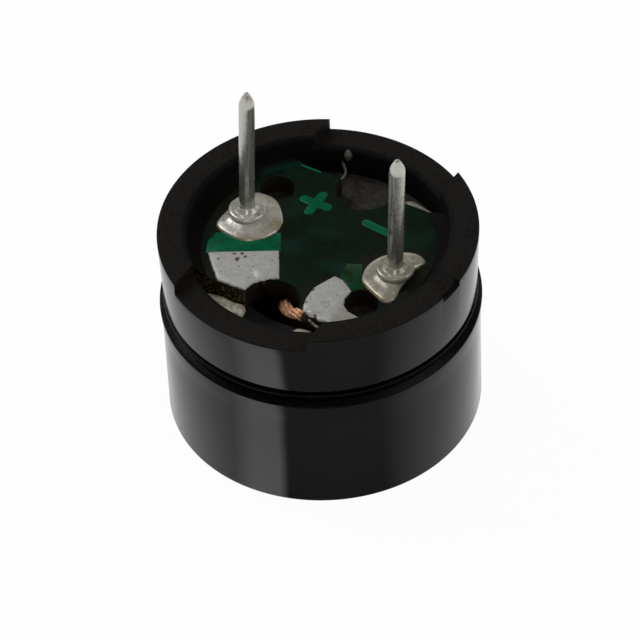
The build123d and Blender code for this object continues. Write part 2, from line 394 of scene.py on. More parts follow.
# %% Slot and gate of the rim
ring_low, ring_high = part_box("base_ring")
rim_top = ring_high.z
low_rim_top = rim_top - 0.5 * MM
ledge_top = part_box("yoke_plate")[0].z
recess_radius = 4.9 * MM
spigot_radius = 5.25 * MM
spigot_bore = 4.4 * MM
seam_radius = 5.7 * MM
slot_half_width = 2.88 * MM
slot_turn = -2.0
slot_half_angle = degrees(asin(slot_half_width / case_radius))
gate_middle = -3.9
gate_half_angle = 5.16
gate_shelf = rim_top - 0.27 * MM
gate_reach = 0.2 * MM
bead_radius = case_radius - 0.07 * MM
bead_low = case_top + 0.15 * MM
bead_high = case_top + 0.31 * MM
bead_round = 0.075 * MM


def from_slot(degree):
    """The signed angle from the middle of the nearer end of the slot."""
    return (degree - slot_turn) % 180 - 90


def ring_profile(degree):
    """The ring's profile at a compass angle, in degrees from the negative pin."""
    top = low_rim_top if abs(from_slot(degree)) < slot_half_angle else rim_top
    in_gate = abs((degree - gate_middle + 180) % 360 - 180) < gate_half_angle
    reach = gate_reach if in_gate else 0.0
    shelf = gate_shelf if in_gate else top - 0.35 * MM
    return rounded([
        (spigot_bore, ring_low.z, 0),
        (spigot_radius, ring_low.z, 0.1 * MM),
        (spigot_radius, case_top, 0),
        (seam_radius, case_top, 0),
        (seam_radius, bead_low, 0),
        (bead_radius, bead_low, bead_round),
        (bead_radius, bead_high, bead_round),
        (seam_radius, bead_high, 0.02 * MM),
        (case_radius - 0.1 * MM, case_top + 0.5 * MM, 0.06 * MM),
        (case_radius - 0.015 * MM, shelf, 0.02 * MM if in_gate else 0),
        (case_radius - 0.013 * MM - reach, shelf, 0),
        (case_radius - reach, top, 0.06 * MM),
        (recess_radius, top, 0.2 * MM),
        (recess_radius, ledge_top, 0.05 * MM),
        (spigot_bore, ledge_top, 0),
    ])


# %% Base ring
bend_reach = 24.0


def ring_section(degree, profile):
    """A profile stood up at a compass angle, and bent to lie along the slot's side where it is near one."""
    from_middle = from_slot(degree)
    way = 1 if from_middle > 0 else -1
    gone = min(abs(abs(from_middle) - slot_half_angle) / bend_reach, 1.0)
    share = way * (1 - gone * gone * (3 - 2 * gone))
    section = []
    for point in profile:
        bend = asin(slot_half_width / max(point.x, recess_radius)) - radians(slot_half_angle)
        section += turned([point], radians(degree) + share * bend)
    return section


slot_halves = (-slot_half_angle, slot_half_angle)
breaks = [side + slot_turn + half for side in (90, 270) for half in slot_halves]
breaks += [gate_middle - gate_half_angle, gate_middle + gate_half_angle]
even_steps = {round(1.5 * step, 4) for step in range(240)}
compass = sorted(even_steps | {round(degree % 360, 4) for degree in breaks})
ring_sections = []
for degree in compass:
    at_break = any(abs((degree - b + 180) % 360 - 180) < 0.001 for b in breaks)
    for nudge in (-0.1, 0.1) if at_break else (0.0,):
        ring_sections.append(ring_section(degree, ring_profile(degree + nudge)))
base_ring = piece(skin("moulded_ring", ring_sections), ring_plastic, "ring_plastic", "base_ring")


def on_rim(face):
    """The rim's top and edge, its steps and the gate, and the wall of the recess."""
    radius = face.center.xy.length
    if radius < recess_radius + 0.2 * MM:
        return True
    near_top = face.center.z > low_rim_top - 0.1 * MM
    return near_top and (face.normal.z > 0.04 or radius < case_radius - 0.08 * MM)


finish_faces(base_ring, rim, on_rim)
# The ring's groove and bead at the seam take the painted seam shade.
finish_faces(base_ring, painted_seam_shade, lambda face: -0.1 * MM < face.center.z - case_top < 0.46 * MM)
step_round = base_ring.modifiers.new("step_edges", "BEVEL")
step_round.width = 0.035 * MM
step_round.segments = 2
step_round.limit_method = "ANGLE"
step_round.angle_limit = radians(55)
print("ring sections:", len(ring_sections))

# %% [markdown]
# ## Steel, magnet and diaphragm
#
# Most of the works are hidden, but the yoke plate shows through the two bites in the board.
# Those solids keep their CAD shape: a plate, a post and rings need no more than an honest surface.
# Dull plated steel is a grey-brown metal with fine mottling, and ferrite is a charcoal ceramic.

# %% Hidden metal finishes
def mottled(name, dark, light, roughness, metallic, lump):
    finish = Finish(name, Metallic=metallic)
    mottle = finish.grain(lump, 5.0)
    finish.set("Base Color", finish.blend(finish.ramp(mottle, 0.3, 0.7), dark, light))
    finish.set("Roughness", roughness + (mottle - 0.5) * 0.2)
    finish.set("Normal", finish.bump(mottle, 0.004 * MM))
    return finish


plated_steel = mottled("plated_steel", rgb(30, 27, 23), rgb(48, 43, 38), 0.6, 0.35, 0.25 * MM)
bright_steel = mottled("bright_steel", rgb(150, 148, 142), rgb(178, 176, 170), 0.32, 1.0, 0.2 * MM)
ferrite = mottled("ferrite", rgb(13, 12, 12), rgb(21, 20, 20), 0.75, 0.1, 0.12 * MM)


def finish_node(node, finish):
    """Gives a CAD node's own object a better finish."""
    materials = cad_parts[node].data.materials
    materials.clear()
    materials.append(finish.material)


for node, finish in {
    "yoke_plate": plated_steel, "pole_core": bright_steel, "diaphragm": bright_steel,
    "diaphragm_weight": bright_steel, "ring_magnet": ferrite,
}.items():
    finish_node(node, finish)
print("steel and ferrite on five nodes")

# %% [markdown]
# ## Coil
#
# The coil is a few hundred turns of enamelled copper. Through the bite one sees the ends of its layers,
# which are coloured nearly black: dark enamel, darkened further as painted shade of the deep bite.
# Winding every turn as a curve would cost a great many faces for a corner of the picture.
# A turned profile with one round bump for each turn gives the same edge and is a closed mesh.

# %% Lacquer and the winding
# Near-black enamel for the coil and the positive lead: dark enamel plus painted shade, so both sink into the
# dark bite.
shaded_dark_enamel = Finish("dark_enamel_painted_shade", Metallic=0.6, Coat_Roughness=0.12)
dark_enamel_mottle = shaded_dark_enamel.grain(0.3 * MM)
shaded_dark_enamel.set("Base Color", shaded_dark_enamel.blend(dark_enamel_mottle, rgb(12, 8, 6), rgb(26, 16, 10)))
shaded_dark_enamel.set("Roughness", 0.35 + shaded_dark_enamel.grain(0.1 * MM) * 0.2)
shaded_dark_enamel.set("Coat Weight", shaded_dark_enamel.grain(0.5 * MM) * 0.4)

coil_low, coil_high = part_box("coil_winding")
coil_bore = 1.05 * MM
turn_pitch = 0.13 * MM


def bumps(start, end, outward):
    """A row of half-round bumps from start to end, one for each turn of wire."""
    run = end - start
    count = round(run.length / turn_pitch)
    radius = run.length / count / 2
    points = []
    for turn in range(count):
        centre = start + run * (turn + 0.5) / count
        for step in range(5):
            t = pi * step / 5
            points.append(centre - run.normalized() * radius * cos(t) + outward * radius * sin(t))
    return points


depth = turn_pitch / 2
bobbin = [
    Vector((coil_bore, coil_high.z - depth)), Vector((coil_high.x - depth, coil_high.z - depth)),
    Vector((coil_high.x - depth, coil_low.z + depth)), Vector((coil_bore, coil_low.z + depth)),
]
coil_profile = bumps(bobbin[0], bobbin[1], Vector((0, 1))) + bumps(bobbin[1], bobbin[2], Vector((1, 0)))
coil_profile += bumps(bobbin[2], bobbin[3], Vector((0, -1))) + [bobbin[3]]
coil_sections = [turned(coil_profile, radians(5 * step)) for step in range(72)]
piece(skin("wound_coil", coil_sections, sharp=60), shaded_dark_enamel, "enamelled_copper", "coil_winding")
print("coil profile points:", len(coil_profile))

# %% [markdown]
# ## Circuit board
#
# The board is brown paper laminate under dark green solder mask. Where copper runs below, the mask looks a
# bright teal. The board keeps its CAD shape. Its finish tells the coated top from the sawn brown edge by the
# surface's direction, and stains the top with olive flux near the soldered places.

# %% Board finish
board_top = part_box("circuit_board")[1].z
pin_x = (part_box("terminal_pin_negative")[0].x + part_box("terminal_pin_negative")[1].x) / 2
flux_sources = {
    "positive pin": (-pin_x, 0.0, 2.4 * MM), "negative pin": (pin_x, 0.0, 2.3 * MM),
    "positive land": (-1.9 * MM, -2.4 * MM, 2.2 * MM), "negative land": (2.0 * MM, -2.4 * MM, 2.0 * MM),
}

board = Finish("board_laminate", IOR=1.3)
mottle = board.grain(0.22 * MM, 6.0)
specks = board.ramp(board.grain(0.07 * MM, 2.0), 0.62, 0.74)
x, y, _ = board.axes()
flux = 0.0
for source_x, source_y, spread in flux_sources.values():
    away = board.from_axis(x, y, (source_x, source_y))
    flux = flux + (1 - board.ramp(away, spread * 0.45, spread))
stain = board.ramp(flux * (mottle + 0.25), 0.25, 0.9)
mask_colour = board.blend(mottle, rgb(4, 12, 7), rgb(11, 28, 19))
# Large teal clouds over the mask are a painted sheen of its gloss.
painted_sheen = board.ramp(board.grain(1.3 * MM, 5.0), 0.5, 0.72)
mask_colour = board.blend(painted_sheen * 0.6, mask_colour, rgb(8, 44, 32))
mask_colour = board.blend(stain, mask_colour, rgb(20, 18, 7))
mask_colour = board.blend(specks, mask_colour, rgb(20, 28, 20))
flecks = board.ramp(board.grain(0.08 * MM, 3.0), 0.52, 0.66)
front_edge = 1 - board.ramp(y, -3.46 * MM, -3.4 * MM)
front_left = front_edge * (1 - board.ramp(x, -1.0 * MM, -0.7 * MM))
edge_colour = board.blend(mottle, rgb(9, 7, 4), rgb(34, 26, 13))
edge_colour = board.blend(flecks * front_left, edge_colour, rgb(120, 100, 60))
coated = board.ramp(board.facing_up(), 0.5, 0.9)
board.set("Base Color", board.blend(coated, edge_colour, mask_colour))
board.set("Roughness", 0.7 - coated * 0.4 + stain * 0.1)
board.set("Normal", board.bump(mottle * 0.6 + specks * 0.4, 0.006 * MM))
finish_node("circuit_board", board)
print("board top at mm:", round(board_top / MM, 2))

# %% [markdown]
# ## Copper under the mask
#
# The polarity marks and the tracks are copper left under the solder mask, so they stand a hair proud.
# They could be painted in the board's shader, but real thin tablets keep a crisp edge at any distance.
# Each one is an outline, raised and inset once, which gives the soft shoulder that the mask has over copper.

# %% Raised tracks and polarity marks
masked = Finish("covered_copper", IOR=1.3, Specular_Tint=(0.25, 1, 0.85, 1))
shade = masked.grain(0.5 * MM, 4.0)
x, y, _ = masked.axes()
patches = masked.ramp(masked.grain(0.3 * MM, 4.0), 0.5, 0.7)
dirt = patches * (1 - masked.ramp(y, -0.6 * MM, 0.4 * MM))
right_front = masked.ramp(x, 1.0 * MM, 1.3 * MM) * (1 - masked.ramp(y, -0.4 * MM, 0.2 * MM))
dirt = dirt * 0.6 + right_front * 0.75
teal = masked.blend(shade, rgb(0, 60, 36), rgb(6, 90, 60))
masked.set("Base Color", masked.blend(dirt, teal, rgb(22, 34, 13)))
masked.set("Roughness", 0.28 + shade * 0.1)
masked.set("Normal", masked.bump(masked.grain(0.15 * MM), 0.004 * MM))
copper_rise = 0.03 * MM
copper_shoulder = 0.045 * MM


def tablet(name, outline, base, rise, shoulder):
    """A flat form raised from an outline, with a soft shoulder round its top."""
    area = sum(a.x * b.y - b.x * a.y for a, b in zip(outline, outline[1:] + outline[:1]))
    outline = outline if area > 0 else outline[::-1]
    mesh = bmesh.new()
    bottom = mesh.faces.new([mesh.verts.new((px, py, base - rise)) for px, py in outline])
    top = bmesh.ops.extrude_face_region(mesh, geom=[bottom])["geom"]
    raised = [v for v in top if isinstance(v, bmesh.types.BMVert)]
    bmesh.ops.translate(mesh, verts=raised, vec=(0, 0, 1.4 * rise))
    lid = [f for f in top if isinstance(f, bmesh.types.BMFace)]
    bmesh.ops.inset_region(mesh, faces=lid, thickness=shoulder, depth=0.6 * rise)
    return settled(name, mesh, 50)


def stroke(start, end, width, steps=6):
    """The outline of a pen stroke with round ends."""
    along = (end - start).normalized()
    across = Vector((-along.y, along.x))
    outline = []
    for tip, way in ((end, 1), (start, -1)):
        for step in range(steps + 1):
            t = pi * step / steps - pi / 2
            outline.append(tip + (along * cos(t) + across * sin(t)) * way * width / 2)
    return outline


def cross(centre, reach, width, steps=6):
    """The outline of a plus sign with round ends."""
    outline = []
    for quarter in range(4):
        turn = Matrix.Rotation(quarter * pi / 2, 2)
        for step in range(steps + 1):
            t = pi * step / steps - pi / 2
            arm = Vector((reach - width / 2 + cos(t) * width / 2, sin(t) * width / 2))
            outline.append(centre + turn @ arm)
        outline.append(centre + turn @ Vector((width / 2, width / 2)))
    return outline


def in_mm(points):
    return [Vector(point) * MM for point in points]


covered = {
    "mark_plus": cross(Vector((-1.25, 1.88)) * MM, 0.69 * MM, 0.38 * MM),
    "mark_minus": stroke(Vector((0.95, 1.87)) * MM, Vector((2.0, 1.78)) * MM, 0.34 * MM),
    "track_back": stroke(Vector((-3.1, 3.42)) * MM, Vector((-2.0, 3.43)) * MM, 0.09 * MM),
    "track_positive": in_mm([(-3.74, -1.82), (-3.7, -1.3), (-1.56, -0.15), (-1.04, -1.02), (-3.44, -2.42)]),
    "track_negative": in_mm([
        (1.57, -1.07), (1.45, -0.35), (1.97, -0.13), (2.36, -0.82), (2.71, -1.12), (2.36, -1.55),
    ]),
}
for name, outline in covered.items():
    piece(tablet(name, outline, board_top, copper_rise, copper_shoulder), masked, "board_laminate")
print("raised copper:", ", ".join(covered))

# %% [markdown]
# ## Solder lands and solder joints
#
# Solder wets a copper pad, creeps to its edge and freezes with a low, uneven crown.
# A land is raised here from its outline: rings shrink towards a centre while a short curve lifts them, and
# fixed noise keeps the crown from looking machined. The joints use the same helper with a taller curve, up to
# the pin's collar.

# %% Tin and solder finishes
burnt_tin = rgb(84, 62, 38)


def tinned(
    name, metallic, dark, light, roughness, flux_colour, flux_share, skirt_rise, crown,
    burnt_spots=(), amber_share=0.0,
):
    """Tin or solder with streaks, flecks and flux, a stained foot, and burnt spots or amber if asked for."""
    finish = Finish(name)
    lumps = finish.grain(0.5 * MM, 5.0)
    streaks = finish.grain(0.16 * MM, 4.0)
    flecks = finish.ramp(finish.grain(0.11 * MM, 2.0), 0.66, 0.72)
    flux = finish.ramp(finish.grain(0.8 * MM, 4.0), 1 - flux_share, 1.12 - flux_share)
    x, y, z = finish.axes()
    foot = 1 - finish.ramp(z, board_top + 0.02 * MM, board_top + skirt_rise)
    skirt = foot * finish.ramp(streaks, 0.4, 0.6)
    metal = finish.blend(finish.ramp(streaks, 0.3, 0.75), dark, light)
    # Solder right of 2.2 mm is blended towards olive: painted shade that tones down the side the lamps light
    # more.
    metal = finish.blend(finish.ramp(x, 2.2 * MM, 2.6 * MM) * 0.45, metal, rgb(118, 110, 84))
    metal = finish.blend(flux, metal, flux_colour)
    metal = finish.blend(skirt, metal, rgb(88, 70, 38))
    for spot_x, spot_y, reach in burnt_spots:
        away = finish.from_axis(x, y, (spot_x * MM, spot_y * MM)) + (streaks - 0.5) * 0.2 * MM
        metal = finish.blend(1 - finish.ramp(away, 0.3 * reach * MM, reach * MM), metal, burnt_tin)
    if amber_share:
        off_pins = 1.0
        for middle in (-pin_x, pin_x):
            away = finish.from_axis(x, y, (middle, 0))
            off_pins = finish.ramp(away, 0.9 * MM, 1.35 * MM) * off_pins
        amber = off_pins * finish.ramp(lumps, 0.35, 0.65) * amber_share
        metal = finish.blend(amber, metal, rgb(128, 108, 62))
    finish.set("Base Color", finish.blend(flecks, metal, rgb(52, 38, 22)))
    finish.set("Roughness", roughness + (streaks - 0.5) * 0.25 + flecks * 0.2)
    finish.set("Metallic", metallic - flux * 0.2 - flecks * 0.2)
    finish.set("Normal", finish.bump(lumps * 0.7 + streaks * 0.3, crown))
    return finish


land_burns = [
    (-2.2, -2.2, 0.14), (-2.86, -2.5, 0.08), (-2.2, -1.85, 0.11), (-1.98, -1.96, 0.09), (-2.45, -2.0, 0.08),
    (1.06, -2.2, 0.14), (1.2, -2.9, 0.08), (1.9, -3.4, 0.1),
]
land_tin = tinned(
    "land_tin", metallic=0.3, dark=rgb(158, 157, 154), light=rgb(170, 170, 167), roughness=0.48,
    flux_colour=rgb(140, 130, 104), flux_share=0.33, skirt_rise=0.07 * MM, crown=0.025 * MM,
    burnt_spots=land_burns,
)
joint_solder = tinned(
    "joint_solder", metallic=0.4, dark=rgb(166, 164, 155), light=rgb(188, 186, 178), roughness=0.25,
    flux_colour=rgb(140, 128, 92), flux_share=0.36, skirt_rise=0.12 * MM, crown=0.009 * MM,
    amber_share=0.5,
)


# %% Forms that have flowed
def smooth_loop(points, steps=6):
    """A closed curve through the points, rounded between them."""
    count = len(points)
    curve = []
    for i in range(count):
        before, start, end, after = (points[(i + k) % count] for k in (-1, 0, 1, 2))
        for step in range(steps):
            t = step / steps
            bend = (2 * start + (end - before) * t + (2 * before - 5 * start + 4 * end - after) * t**2
                    + (3 * start - before - 3 * end + after) * t**3)
            curve.append(bend / 2)
    return curve


def flowed(name, outline, centre, base, lifts, wobble, hub=0.0):
    """Rings that shrink from an outline to a hub, lifted by (share of the way in, height) pairs."""
    sections = [[Vector((*centre, base + lifts[0][1]))] * len(outline)]
    for share, lift in lifts:
        ring = []
        for point in outline:
            arm = point - centre
            place = centre + arm * (1 - share) + arm.normalized() * hub * share
            ripple = noise.noise(Vector((place.x, place.y, 0)) / (0.5 * MM)) * wobble if lift > 0 else 0
            ring.append(Vector((place.x, place.y, base + lift + ripple)))
        sections.append(ring)
    sections.append([sum(sections[-1], Vector()) / len(outline)] * len(outline))
    return skin(name, sections, loop_sections=False, sharp=60)


def lifts_in_mm(*pairs):
    return [(share, lift * MM) for share, lift in pairs]


# %% Lands
land_lifts = lifts_in_mm(
    (0.0, -0.01), (0.015, 0.035), (0.05, 0.06), (0.12, 0.078), (0.3, 0.09), (0.6, 0.1), (0.94, 0.1),
)
lands = {
    "land_positive": (Vector((-1.8, -2.35)) * MM, [
        (-3.41, -2.36), (-1.11, -1.0), (-0.3, -2.3), (-0.57, -2.43), (-0.82, -2.64), (-1.04, -2.97),
        (-1.13, -3.4), (-1.53, -3.44), (-2.31, -3.46), (-2.92, -2.89),
    ]),
    "land_negative": (Vector((2.0, -2.6)) * MM, [
        (1.18, -3.08), (1.06, -2.66), (1.03, -2.05), (1.39, -1.15), (1.75, -1.18), (2.36, -1.54),
        (2.34, -2.0), (2.5, -2.34), (2.86, -2.56), (3.45, -2.65), (2.58, -3.44), (2.32, -3.38),
        (2.1, -3.46), (1.84, -3.4), (1.62, -3.46), (1.34, -3.37),
    ]),
}
for name, (centre, corners) in lands.items():
    outline = rounded([(px * MM, py * MM, 0.05 * MM) for px, py in corners])
    land = flowed(name, outline, centre, board_top, land_lifts, 0.014 * MM)
    piece(land, land_tin, "solder", "solder_" + name)

mounds = {
    "mound_positive": (0.15, [
        (-0.8, -2.7), (-0.66, -2.5), (-0.75, -2.1), (-1.25, -1.95), (-1.55, -2.3), (-1.2, -2.7),
    ]),
    "mound_negative": (0.19, [
        (1.4, -3.36), (1.6, -3.46), (1.92, -3.42), (2.0, -3.15), (1.75, -3.0), (1.42, -3.14),
    ]),
}
for name, (rise, corners) in mounds.items():
    outline = in_mm(corners)
    centre = sum(outline, Vector((0, 0))) / len(outline)
    mound_lifts = lifts_in_mm((0.0, 0.05), (0.1, 0.08), (0.3, 0.7 * rise), (0.6, 0.94 * rise), (0.9, rise))
    mound = flowed(name, smooth_loop(outline), centre, board_top, mound_lifts, 0.012 * MM)
    piece(mound, land_tin, "solder")
print("lands and mounds:", ", ".join([*lands, *mounds]))

# %% Solder joints
collar_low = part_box("solder_joint_negative")[1].z
collar_top = collar_low + 0.18 * MM
pool_rise = (collar_low - board_top) / MM
pool_lifts = lifts_in_mm(
    (0.0, -0.01), (0.02, 0.3 * pool_rise), (0.1, 0.44 * pool_rise), (0.3, 0.55 * pool_rise),
    (0.48, 0.74 * pool_rise), (0.6, 0.98 * pool_rise), (0.98, 0.98 * pool_rise),
)
pin_stands = {
    "positive": Vector((-pin_x + 0.1 * MM, 0.065 * MM)),
    "negative": Vector((pin_x + 0.05 * MM, 0.03 * MM)),
}
pool_hub = 0.2 * MM
pools = {
    "positive": in_mm([
        (-3.84, -1.03), (-3.2, -1.24), (-2.49, -1.21), (-1.98, -0.8), (-1.72, -0.3), (-1.74, 0.2),
        (-1.94, 0.64), (-2.53, 1.22), (-3.1, 1.34), (-3.6, 1.18), (-3.9, 0.7), (-3.93, 0.0), (-3.96, -0.6),
    ]),
    "negative": in_mm([
        (3.95, -1.3), (3.97, -1.0), (3.86, -0.5), (3.84, 0.19), (3.86, 0.6), (4.0, 1.08), (3.6, 1.3),
        (3.15, 1.22), (2.7, 0.95), (2.36, 0.49), (2.18, -0.18), (2.4, -0.89), (3.1, -1.28), (3.7, -1.47),
    ]),
}
for pole, outline in pools.items():
    middle = pin_stands[pole]
    pool = flowed(f"pool_{pole}", smooth_loop(outline), middle, board_top, pool_lifts, 0.02 * MM, pool_hub)
    piece(pool, joint_solder, "solder", f"solder_joint_{pole}")
print("solder joints:", ", ".join(pools))

# %% [markdown]
# ## Terminal pins
#
# Each pin is tinned wire with a cropped, tapered tip and a collar that the solder has wetted.
# It is lathe work again. The pins were bent a few degrees in handling, so the sections are tipped over from
# the collar up. They also stand a tenth of a millimetre off their CAD places, as in the photograph.
# The tin is bright but drawn: fine streaks run along the wire, and a little flux has dried on it.

# %% Pins
tin = Finish("tinned_pin", Metallic=0.86)
x, y, z = tin.axes()
stretched = tin.node("ShaderNodeCombineXYZ", {}, {"X": x, "Y": y, "Z": z * 0.12})
streaking = {"Vector": stretched, "Scale": 1 / (0.12 * MM), "Detail": 3.0}
drawn = tin.node("ShaderNodeTexNoise", {}, streaking, "Fac")
blotch = tin.ramp(tin.grain(0.45 * MM, 4.0), 0.55, 0.75)
tin_colour = tin.blend(drawn, rgb(168, 167, 159), rgb(196, 195, 188))
tin.set("Base Color", tin.blend(blotch, tin_colour, rgb(112, 106, 78)))
tin.set("Roughness", 0.18 + drawn * 0.14 + blotch * 0.14)
tin.set("Normal", tin.bump(drawn * 0.5 + tin.grain(0.2 * MM) * 0.5, 0.012 * MM))

pin_low, pin_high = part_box("terminal_pin_negative")
pin_radius = 0.3 * MM
tip_length = 0.45 * MM
nose_radius = 0.07 * MM
collar_radius = 0.72 * MM
fillet = 0.16 * MM
wetted_height = 0.15 * MM
nose_height = 0.05 * MM
pin_profile = rounded([
    (0, pin_low.z, 0),
    (0.26 * MM, pin_low.z, 0.03 * MM),
    (0.28 * MM, collar_low, 0),
    (collar_radius, collar_low, 0.05 * MM),
    (collar_radius, collar_top, 0.13 * MM),
    (pin_radius + fillet, collar_top, 0.06 * MM),
    (pin_radius, collar_top + fillet, 0.1 * MM),
    (pin_radius, pin_high.z - tip_length, 0.75 * MM),
    (nose_radius, pin_high.z, 0.1 * MM),
    (0, pin_high.z, 0),
], steps=6)


def tipped(section, lean):
    """Tips a section over, from the collar up, by lean at the tip."""
    reach = pin_high.z - collar_top
    return [point + lean * max(0.0, (point.z - collar_top) / reach) for point in section]


def on_solder(face):
    """The collar and its fillet, and the nose of the tip, where the tin is dull."""
    return not collar_top + wetted_height < face.center.z < pin_high.z - nose_height


pin_leans = {"positive": Vector((0.03, 0.38, 0)) * MM, "negative": Vector((0.25, -0.03, 0)) * MM}
pin_angles = [radians(7.5 * step) for step in range(48)]
for pole, lean in pin_leans.items():
    sections = [tipped(turned(pin_profile, angle, pin_stands[pole]), lean) for angle in pin_angles]
    pin_skin = skin(f"pin_{pole}", sections, loop_points=False)
    pin = piece(pin_skin, tin, "tinned_pin", f"terminal_pin_{pole}")
    finish_faces(pin, joint_solder, on_solder)
print("pin tip at mm:", round(pin_high.z / MM, 2))

# %% [markdown]
# ## Coil leads
#
# The two ends of the coil come up through the bite as short twisted bundles. The positive one lies down on
# its land in the solder. The negative one ends at the front tip of its land, and a tinned tail runs on along
# the board's edge. A bundle follows one smooth spline whose control points were placed after the
# photograph, and each strand is a thin tube that winds round it. Reading the points back from Blender's own
# spline keeps the bends smooth.

# %% Twisted leads
def spline_points(route):
    """Points along a NURBS curve that has the route as its control points."""
    curve = bpy.data.curves.new("route", "CURVE")
    curve.dimensions = "3D"
    curve.resolution_u = 10
    spline = curve.splines.new("NURBS")
    spline.points.add(len(route) - 1)
    for point, place in zip(spline.points, route):
        point.co = (*place, 1)
    spline.order_u = 3
    spline.use_endpoint_u = True
    carrier = bpy.data.objects.new("route", curve)
    line = bpy.data.meshes.new_from_object(carrier)
    points = [v.co.copy() for v in line.vertices]
    bpy.data.objects.remove(carrier)
    bpy.data.meshes.remove(line)
    bpy.data.curves.remove(curve)
    return points


def frames(points):
    """A direction and two steady cross directions at each point of a path."""
    cross_way = Vector((1, 0, 0))
    found = []
    for i, point in enumerate(points):
        along = (points[min(i + 1, len(points) - 1)] - points[max(i - 1, 0)]).normalized()
        cross_way = (cross_way - along * cross_way.dot(along)).normalized()
        found.append((point, cross_way, along.cross(cross_way)))
    return found


def strand(name, path, lay, radius, gather, start, turns=0.6, sides=10):
    """A tube that winds round a path at the distance lay, both smaller by the share gather at the end."""
    shares = [i / (len(path) - 1) for i in range(len(path))]
    centres = []
    for share, (point, first, second) in zip(shares, frames(path)):
        angle = start + 2 * pi * turns * share
        centres.append(point + (first * cos(angle) + second * sin(angle)) * lay * (1 - gather * share))
    sides_round = [2 * pi * side / sides for side in range(sides)]
    rings = [[centres[0]] * sides]
    for share, (point, first, second) in zip(shares, frames(centres)):
        size = radius * (1 - gather * share)
        rings.append([point + (first * cos(angle) + second * sin(angle)) * size for angle in sides_round])
    rings.append([centres[-1]] * sides)
    return skin(name, rings, loop_sections=False, sharp=50)


enamel = Finish("enamelled_copper", IOR=1.35)
lacquer = enamel.grain(0.12 * MM, 3.0)
x, _, _ = enamel.axes()
mottle = enamel.ramp(lacquer, 0.3, 0.75)
copper = enamel.blend(mottle, rgb(168, 106, 66), rgb(240, 192, 152))
# Copper shows only in the middle, where the lead bends over the board's edge. Lower in the bite the dark
# brown is painted shade; at the land end it is solder and burnt flux.
copper_clear_of_shade_and_flux = enamel.ramp(x, -0.15 * MM, 0.4 * MM) * (1 - enamel.ramp(x, 1.38 * MM, 1.5 * MM))
enamel.set("Base Color", enamel.blend(copper_clear_of_shade_and_flux, rgb(42, 26, 12), copper))
enamel.set("Roughness", 0.6 - copper_clear_of_shade_and_flux * 0.26 + lacquer * 0.2)
enamel.set("Metallic", copper_clear_of_shade_and_flux * 0.35)

leads = {
    # The positive lead is near-black: painted shade that sinks it into the dark bite.
    "positive": (shaded_dark_enamel, 3, 0.055 * MM, 0.055 * MM, 0.2, in_mm([
        (-0.45, -2.2, 6.3), (-0.45, -2.2, 6.52), (-0.52, -2.62, 6.75), (-0.7, -2.72, 7.35),
        (-0.82, -2.62, 7.65), (-1.05, -2.42, 7.62),
    ])),
    "negative": (enamel, 6, 0.16 * MM, 0.09 * MM, 0.2, in_mm([
        (-0.1, -2.2, 6.32), (-0.1, -2.5, 6.66), (0.4, -2.9, 6.85), (0.85, -3.34, 7.32),
        (1.15, -3.52, 7.62), (1.44, -3.54, 7.62), (1.58, -3.42, 7.46),
    ])),
}
for pole, (finish, strands, lay, radius, gather, route) in leads.items():
    path = spline_points(route)
    for count in range(strands):
        tube = strand(f"lead_{pole}_{count + 1}", path, lay, radius, gather, 2 * pi * count / strands)
        item = piece(tube, finish, "enamelled_copper")
        if count == 0:
            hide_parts(f"coil_lead_{pole}")
tail_route = in_mm([(1.68, -3.47, 7.5), (1.84, -3.57, 7.48), (2.05, -3.58, 7.4), (2.32, -3.54, 7.28)])
tail = strand("lead_tail", spline_points(tail_route), lay=0, radius=0.075 * MM, gather=0.3, start=0)
piece(tail, land_tin, "solder")
print("lead strands:", sum(strands for _, strands, *_ in leads.values()), "and one tinned tail")

# %% [markdown]
# ## Sealant and glue
#
# A dark resin seals the board's round ends to the ring, and pale glue has run into the gaps beside the flats.
# The seal keeps its CAD shape under a wet dark finish, and the board's green shows through its thin foot at
# the back. The glue is made as flowed forms, as the solder is, with one string and one drop at the back.

# %% Resin
sealant = Finish("sealant", IOR=1.1)
ripple = sealant.grain(0.5 * MM, 3.0)
x, y, z = sealant.axes()
back_corner = (1 - sealant.ramp(x, -2.7 * MM, -2.3 * MM)) * sealant.ramp(y, 1.9 * MM, 2.6 * MM)
thin_foot = back_corner * (1 - sealant.ramp(z, board_top + 0.02 * MM, board_top + 0.2 * MM))
resin_colour = sealant.blend(ripple, rgb(3, 2, 2), rgb(12, 10, 7))
sealant.set("Base Color", sealant.blend(thin_foot * 0.45, resin_colour, rgb(4, 52, 40)))
sealant.set("Roughness", 0.35 + ripple * 0.3)
sealant.set("Normal", sealant.bump(ripple, 0.02 * MM))
finish_node("board_sealant", sealant)

glue = Finish("dried_glue", IOR=1.5)
skin_ripple = glue.grain(0.3 * MM, 4.0)
x, y, _ = glue.axes()
milky = glue.ramp(skin_ripple, 0.35, 0.65)
glue_colour = glue.blend(milky, rgb(122, 117, 101), rgb(176, 171, 156))
behind = glue.ramp(y, 3.0 * MM, 3.4 * MM)
left_behind = behind * (1 - glue.ramp(x, -0.8 * MM, -0.4 * MM))
glue_colour = glue.blend(behind * 0.8, glue_colour, rgb(92, 88, 78))
glue.set("Base Color", glue.blend(left_behind, glue_colour, rgb(70, 66, 59)))
glue.set("Roughness", 0.25 + skin_ripple * 0.2)
glue.set("Normal", glue.bump(skin_ripple, 0.015 * MM))

